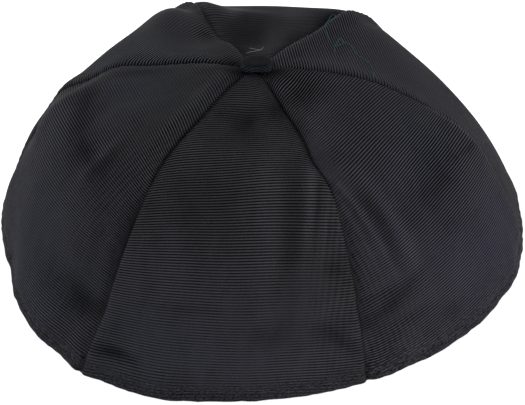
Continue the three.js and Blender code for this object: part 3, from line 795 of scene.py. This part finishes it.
def faille(name, seed, tint=(1.0, 1.0, 1.0)):
    """Watered ribbed silk, rib = |sin(pi y / pitch)|^RIB_LIGHT: grooves painted dark as their shade and
    crests painted light. Where "pressed" is above nought, and in streaks down the panel, sin(2 pi x / streak
    pitch) bent by a slow noise, the ribs come nearer to one grey; below nought they stand out, rib^3 and
    brighter.
    The brightness marks, the watering's clouds with painted shade and highlight, are added to the brightness,
    "fleck" shows the yarns in it, and "cool" and "green" raise its blue and its green."""
    cloth = Finish(bpy.data.materials.new(name))
    place = cloth.node("ShaderNodeSeparateXYZ", None, {0: cloth.node("ShaderNodeUVMap", {"uv_map": "weave"})})
    x = (place - 0.5) * PANEL_WIDTH
    y = place.part(1) * PANEL_LENGTH
    tone_and_painted_light, streak, worn, fleck, cool, green = (
        cloth.node("ShaderNodeAttribute", {"attribute_name": kind}, None, 2)
        for kind in ("tone_and_painted_light", "streak", "pressed", "fleck", "cool", "green")
    )
    flat = worn.larger(0.0)
    crisp = (0.0 - worn).larger(0.0)

    rib = abs((y * (np.pi / RIB_PITCH)).sine()) ** RIB_LIGHT
    warp = (x * (2 * np.pi / WARP_PITCH)).sine() * 0.5 + 0.5
    bend = cloth.noise(x / 16.0, y / 36.0, seed)
    stagger = cloth.noise(x / 9.0, y / 1.4, seed + 5.1, 1.0)
    phase = x / STREAK_PITCH + STREAK_BEND * bend + 0.25 * stagger
    lines = (phase * (2 * np.pi)).sine()
    clouds = cloth.noise(x / CLOUD_WIDTH, y / CLOUD_LENGTH, seed + 7.3) * 2.0 - 1.0
    blots = cloth.noise(x / BLOT_WIDTH, y / BLOT_LENGTH, seed + 11.9, 3.0) * 2.0 - 1.0
    shown = streak + 0.12 * cloth.step(clouds, 0.0, 0.5)
    watered = cloth.step(lines * shown, 0.0, 1.0)
    fibre = cloth.noise(x / FIBRE_WIDTH, y / FIBRE_LENGTH, seed + 3.1)
    yarns = cloth.noise(x / YARN_WIDTH, y / YARN_LENGTH, seed + 17.3) * 2.0 - 1.0
    sharp = rib + (rib**3 - rib) * crisp
    # Ribs painted from the shade colour in the grooves to the light colour on the crests.
    plain = cloth.blend(sharp, FAILLE_GROOVE_SHADE, FAILLE_CREST_LIGHT)
    share = cloth.step(0.45 * watered + 0.9 * flat + 0.5 * blots * (1.0 - crisp) - 0.4 * crisp, 0.1, 1.1)
    pressed = cloth.blend(share * 0.85, plain, FAILLE_PRESSED)
    light = 1.0 + 1.5 * tone_and_painted_light + 0.18 * clouds + 0.22 * blots + 0.16 * lines * shown + 1.6 * yarns * fleck
    brightness = light * (0.66 + 0.68 * fibre) * (0.94 + 0.12 * warp) * (1.0 + 0.55 * crisp)
    grey = cloth.node("ShaderNodeCombineXYZ", None, {
        "X": brightness * tint[0],
        "Y": brightness * (1.0 + COOL_GREEN * green) * tint[1],
        "Z": brightness * (1.0 + COOL_BLUE * cool) * tint[2],
    })
    colour = cloth.node("ShaderNodeVectorMath", {"operation": "MULTIPLY"}, {0: pressed, 1: grey})
    height = rib * 0.3 + warp * 0.25 + fibre * 0.45
    weave = {"Height": height, "Strength": WEAVE_STRENGTH, "Distance": WEAVE_DEPTH * MM}
    return cloth.surface({
        "Base Color": colour,
        "Roughness": FAILLE_ROUGHNESS - WATERED_GLOSS * watered,
        "Specular IOR Level": FAILLE_SPECULAR,
        "Normal": cloth.node("ShaderNodeBump", None, weave),
    })


PANEL_SEED = 4.7
panels = {}
for count, name in enumerate(PANELS):
    panels[name], cloth = make_panel(name)
    cloth.data.materials.append(faille(name + "_faille", PANEL_SEED * (count + 1)))
    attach(cloth, "root")
    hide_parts(name)


# The hem's topstitching: black sewing thread in short stitches, one row right round the cap a few
# millimetres above the turned edge, each stitch sunk at both ends into the cloth.
STITCH_LENGTH = 2.3
STITCH_PITCH = 2.9
STITCH_WIDTH = 0.42
STITCH_SINK = 0.10
STITCH_BOW, STITCH_BED = 0.22, 0.25
THREAD_DARK, THREAD_LIT = (0.004, 0.004, 0.005, 1.0), (0.030, 0.030, 0.034, 1.0)
STITCH_RINGS, STITCH_SIDES = 7, 6


def hem_stitches():
    """Stitches at even steps along each panel's line STITCH_LINE above the edge. One stitch is a bent
    spindle: centre t L, radius W/2 sqrt(1 - (1.96 t)^2), raised by cos(pi t), with t from -1/2 to 1/2."""
    share = 1 - STITCH_LINE / PANEL_LENGTH
    t = np.linspace(-0.5, 0.5, STITCH_RINGS)
    turn = np.linspace(0.0, 2 * np.pi, STITCH_SIDES, endpoint=False)
    swell = 0.5 * STITCH_WIDTH * np.sqrt(np.clip(1 - (1.96 * t) ** 2, 0.02, 1))
    tubes = []
    for panel in panels.values():
        u = np.linspace(0.0, 1.0, 200)
        line, direction = panel.outer(u, np.full_like(u, share))
        length = distance_along(line)
        places = np.arange(0.6 * STITCH_PITCH, length[-1] - 0.5 * STITCH_PITCH, STITCH_PITCH)
        centre = read_at(places, length, line)
        out = unit(read_at(places, length, direction))
        run = read_at(places, length, np.gradient(line, length, axis=0))
        run = unit(run - (run * out).sum(-1, keepdims=True) * out)
        side = np.cross(out, run)
        lift = STITCH_BOW * np.cos(np.pi * t) - STITCH_SINK - STITCH_BED
        spine = centre[:, None] + (STITCH_LENGTH * t)[None, :, None] * run[:, None]
        spine = spine + lift[None, :, None] * out[:, None]
        ring = (
            swell[:, None, None] * np.cos(turn)[None, :, None] * side[:, None, None]
            + 0.7 * swell[:, None, None] * np.sin(turn)[None, :, None] * out[:, None, None]
        )
        tubes.append(spine[:, :, None] + ring)
    return tube_mesh("hem_stitches", tubes)


stitches = hem_stitches()
black = yarn("black_thread", 2400.0, 1.0, THREAD_DARK, THREAD_LIT, roughness=0.5, gloss=0.3)
stitches.data.materials.append(black)
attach(stitches, "root")


# The covered button: a low tin shell with a disc of the same faille drawn over it and pleated tight
# under its edge, held in the middle by a short shank. It leans back as the crown's top does.
BUTTON_RADIUS = 5.2
BUTTON_RISE = 2.1
SHANK_RADIUS = 1.3
SHANK_FOOT = -3.4
BUTTON_Z = 61.9
BUTTON_LEAN = np.radians(16.0)
BUTTON_ROUND, BUTTON_RINGS = 160, 110
BUTTON_RIB = 0.11
PLEATS, PLEAT_DEPTH = 17, 0.022
BUTTON_TONE = -0.60
# Painted light: the button's pleated side is made this much brighter than its top.
BUTTON_SIDE_PAINTED_LIGHT = 0.34
BUTTON_TINT = (0.86, 1.0, 1.03)
BUTTON_DYE = {"streak": 0.0, "pressed": 0.3, "fleck": 0.0, "cool": 0.5, "green": 1.0}
BUTTON_SEED = 41.0


def button_cloth():
    """Section carried round the shank. The weave is the flat disc before it was drawn over, rho (sin a,
    -cos a), rho being the length down the section, so ribs |sin(pi y / pitch)| cross the top, run down front
    and back, and stand upright at the sides. The pleats there are cos(PLEATS a), shifted round the edge."""
    r = BUTTON_RADIUS
    section = np.array([
        (0.0, BUTTON_RISE), (0.50 * r, 0.99 * BUTTON_RISE), (0.82 * r, 0.95 * BUTTON_RISE),
        (0.95 * r, 0.78 * BUTTON_RISE), (r, 0.35 * BUTTON_RISE), (0.98 * r, -0.25),
        (0.84 * r, -0.65), (0.50 * r, -0.75), (SHANK_RADIUS, -0.9), (SHANK_RADIUS, SHANK_FOOT),
        (0.0, SHANK_FOOT),
    ])
    steps = np.concatenate([[0.0], np.cumsum(np.hypot(*np.diff(section, axis=0).T))])
    rho = np.linspace(0.0, steps[-1], BUTTON_RINGS)[1:-1]
    a = np.linspace(0.0, 2 * np.pi, BUTTON_ROUND, endpoint=False)
    soft = np.array([1, 4, 6, 4, 1]) / 16
    radius, height = (
        np.convolve(np.pad(np.interp(rho, steps, column), 2, mode="edge"), soft, mode="valid")
        for column in section.T
    )
    x_weave = rho[:, None] * np.sin(a)
    y_weave = -rho[:, None] * np.cos(a)
    edge = smoothstep(rho, steps[2], steps[4])[:, None]
    covered = (1 - smoothstep(rho, steps[6], steps[7]))[:, None]
    side = edge * covered
    rib = (np.abs(np.sin(np.pi * y_weave / RIB_PITCH)) ** RIB_ROUND - 1) * BUTTON_RIB * covered
    pleat = np.cos(PLEATS * a + 0.8 * np.sin(3 * a) + 0.5 * np.sin(5 * a + 1.0))
    square = (np.abs(np.sin(a)) ** 5 + np.abs(np.cos(a)) ** 5) ** -0.2 - 1.06
    grow = 1 + square * edge + PLEAT_DEPTH * side * pleat
    x = radius[:, None] * np.sin(a) * grow + rib * side * np.sin(a)
    y = -radius[:, None] * np.cos(a) * grow - rib * side * np.cos(a)
    z = height[:, None] + rib * (1 - side) + 0.06 * side * np.sin(2 * a + 1)
    cloth = np.stack([x, y, z], -1).reshape(-1, 3)
    poles = np.array([[0.0, 0.0, BUTTON_RISE - BUTTON_RIB], [0.0, 0.0, SHANK_FOOT]])
    points = np.concatenate([cloth, poles])
    lean = np.array([
        [1, 0, 0],
        [0, np.cos(BUTTON_LEAN), np.sin(BUTTON_LEAN)],
        [0, -np.sin(BUTTON_LEAN), np.cos(BUTTON_LEAN)],
    ])
    grid = np.arange(len(cloth)).reshape(len(rho), BUTTON_ROUND)
    after = np.roll(grid, -1, axis=1)
    faces = [
        faces_between(grid, after)[:, TURNED_OVER],
        np.stack([np.full(BUTTON_ROUND, len(cloth)), grid[0], after[0]], -1),
        np.stack([np.full(BUTTON_ROUND, len(cloth) + 1), after[-1], grid[-1]], -1),
    ]
    weave = np.concatenate([np.stack([x_weave, y_weave], -1).reshape(-1, 2), np.zeros((2, 2))])
    # Painted light on the pleated side, brighter than the top.
    lighter = np.append((BUTTON_SIDE_PAINTED_LIGHT * side * np.ones_like(rib)).ravel(), [0.0, 0.0])
    marks = {kind: np.full(len(points), share) for kind, share in BUTTON_DYE.items()}
    marks["tone_and_painted_light"] = BUTTON_TONE + lighter
    return closed_mesh("button_cloth", points @ lean.T + [0.0, 0.0, BUTTON_Z], faces, weave, marks)


button = button_cloth()
button.data.materials.append(faille("button_faille", BUTTON_SEED, BUTTON_TINT))
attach(button, "root")
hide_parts("top_button")


# Loose thread ends: a few hair-fine cotton fibres, off-white behind the button and blue-green on the back
# right panel, caught in the seams. They run close over the cloth, under half a millimetre above it.
THREAD_SIDES = 6
THREAD_STEP = 0.2
THREAD_LIFT, THREAD_WAVE, THREAD_OVER_SEAM = 0.17, 0.25, 0.9
STRAND_COLUMNS = ("panel", "radius", "route")
STRANDS = {
    "tuft_long": ("panel_back", 0.035, (
        (0.72, 0.135), (0.64, 0.128), (0.575, 0.122), (0.49, 0.12), (0.45, 0.116),
    )),
    "tuft_fork": ("panel_back", 0.04, (
        (0.84, 0.097), (0.7, 0.104), (0.49, 0.118), (0.465, 0.135), (0.462, 0.152),
    )),
    "strand_loop": ("panel_back_right", 0.08, (
        (0.965, 0.316), (0.985, 0.33), (0.985, 0.348), (0.955, 0.35), (0.965, 0.318), (0.95, 0.305),
        (0.88, 0.293), (0.715, 0.278), (0.555, 0.268), (0.46, 0.259),
    )),
    "strand_peak": ("panel_back_right", 0.08, (
        (0.575, 0.271), (0.63, 0.29), (0.685, 0.312), (0.645, 0.314), (0.61, 0.31), (0.595, 0.293),
        (0.57, 0.277),
    )),
    "strand_tail": ("panel_back_right", 0.08, (
        (0.64, 0.312), (0.55, 0.327), (0.47, 0.322), (0.395, 0.327), (0.33, 0.336), (0.23, 0.339),
        (0.12, 0.328), (0.02, 0.312),
    )),
}


def loose_threads(kind):
    """A tube along each strand of the kind: a smooth curve through its places on the panel, lifted off it by
    its radius, THREAD_LIFT + THREAD_WAVE |sin(length / 3)|, and THREAD_OVER_SEAM on the seam's edge."""
    tubes = []
    turn = np.linspace(0.0, 2 * np.pi, THREAD_SIDES, endpoint=False)
    for name, values in STRANDS.items():
        if not name.startswith(kind):
            continue
        strand = dict(zip(STRAND_COLUMNS, values))
        route = np.array(strand["route"])
        panel = panels[strand["panel"]]
        rough, _ = panel.outer(route[:, 0], route[:, 1])
        share = distance_along(rough)
        length = np.linspace(0.0, share[-1], int(share[-1] / THREAD_STEP))
        u, s = curve_through(share, route[:, 0], length), curve_through(share, route[:, 1], length)
        line, out = panel.outer(u, s)
        lift = strand["radius"] + THREAD_LIFT + THREAD_WAVE * np.abs(np.sin(length / 3.0))
        lift = lift + THREAD_OVER_SEAM * smoothstep(u, 0.86, 0.97)
        line = line + lift[:, None] * out
        run = unit(np.gradient(line, axis=0))
        side = unit(np.cross(out, run))
        above = np.cross(run, side)
        thin = strand["radius"] * (1 - 0.5 * smoothstep(length, share[-1] - 1.0, share[-1]))
        ring = np.cos(turn)[None, :, None] * side[:, None] + np.sin(turn)[None, :, None] * above[:, None]
        tubes.append((line[:, None] + thin[:, None, None] * ring)[None])
    return tube_mesh("loose_" + kind, tubes)


FIBRES = {
    "tuft": ((0.20, 0.27, 0.28, 1.0), (0.60, 0.70, 0.70, 1.0)),
    "strand": ((0.012, 0.055, 0.060, 1.0), (0.050, 0.150, 0.160, 1.0)),
}
for kind, (deep, pale) in FIBRES.items():
    threads = loose_threads(kind)
    cotton = yarn(kind + "_cotton", 700.0, 2.0, deep, pale, roughness=0.8, gloss=0.2)
    threads.data.materials.append(cotton)
    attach(threads, "root")


# The studio: a white light table that runs out of sight, a tent round it that falls from bright and cool at
# the table to dim and neutral overhead, with the sine of the height, and two large soft lamps, the key low
# at the front right and the fill behind at the left.
FLOOR_HALF = 3.0
FLOOR_GLOW = 0.75
LAMPS = {
    "key": ((1.0, -0.75, 0.3), 0.9, 5.0),
    "fill": ((-0.7, 0.8, 0.7), 0.8, 4.0),
}
TENT_LOW, TENT_HIGH = 1.15, 0.25
TENT_LOW_COLOUR, TENT_HIGH_COLOUR = (0.95, 0.95, 1.08, 1.0), (1.0, 1.0, 1.0, 1.0)
floor_mesh = bpy.data.meshes.new("floor")
corners = [(-1, -1), (1, -1), (1, 1), (-1, 1)]
floor_mesh.from_pydata([(FLOOR_HALF * x, FLOOR_HALF * y, 0.0) for x, y in corners], [], [(0, 1, 2, 3)])
floor = added("floor", floor_mesh)
table = Finish(bpy.data.materials.new("floor_white"))
floor.data.materials.append(table.surface({
    "Base Color": (0.8, 0.8, 0.8, 1.0),
    "Roughness": 0.9,
    "Emission Color": (1.0, 1.0, 1.0, 1.0),
    "Emission Strength": FLOOR_GLOW,
}))

tent = Finish(bpy.data.worlds.new("tent"))
height = tent.node("ShaderNodeSeparateXYZ", None, {0: tent.node("ShaderNodeTexCoord")}, 2).larger(0.0)
light = tent.node("ShaderNodeBackground", None, {
    "Strength": TENT_LOW - (TENT_LOW - TENT_HIGH) * height,
    "Color": tent.blend(height, TENT_LOW_COLOUR, TENT_HIGH_COLOUR),
})
tent.node("ShaderNodeOutputWorld", None, {"Surface": light})
bpy.context.scene.world = tent.owner
for name, (place, size, power) in LAMPS.items():
    lamp_data = bpy.data.lights.new(name, "AREA")
    lamp_data.size, lamp_data.energy = size, power
    lamp = added(name, lamp_data)
    lamp.location = place
    lamp.rotation_euler = facing(place, (0.0, 0.0, 0.0))
bpy.context.scene.view_settings.view_transform = "Standard"
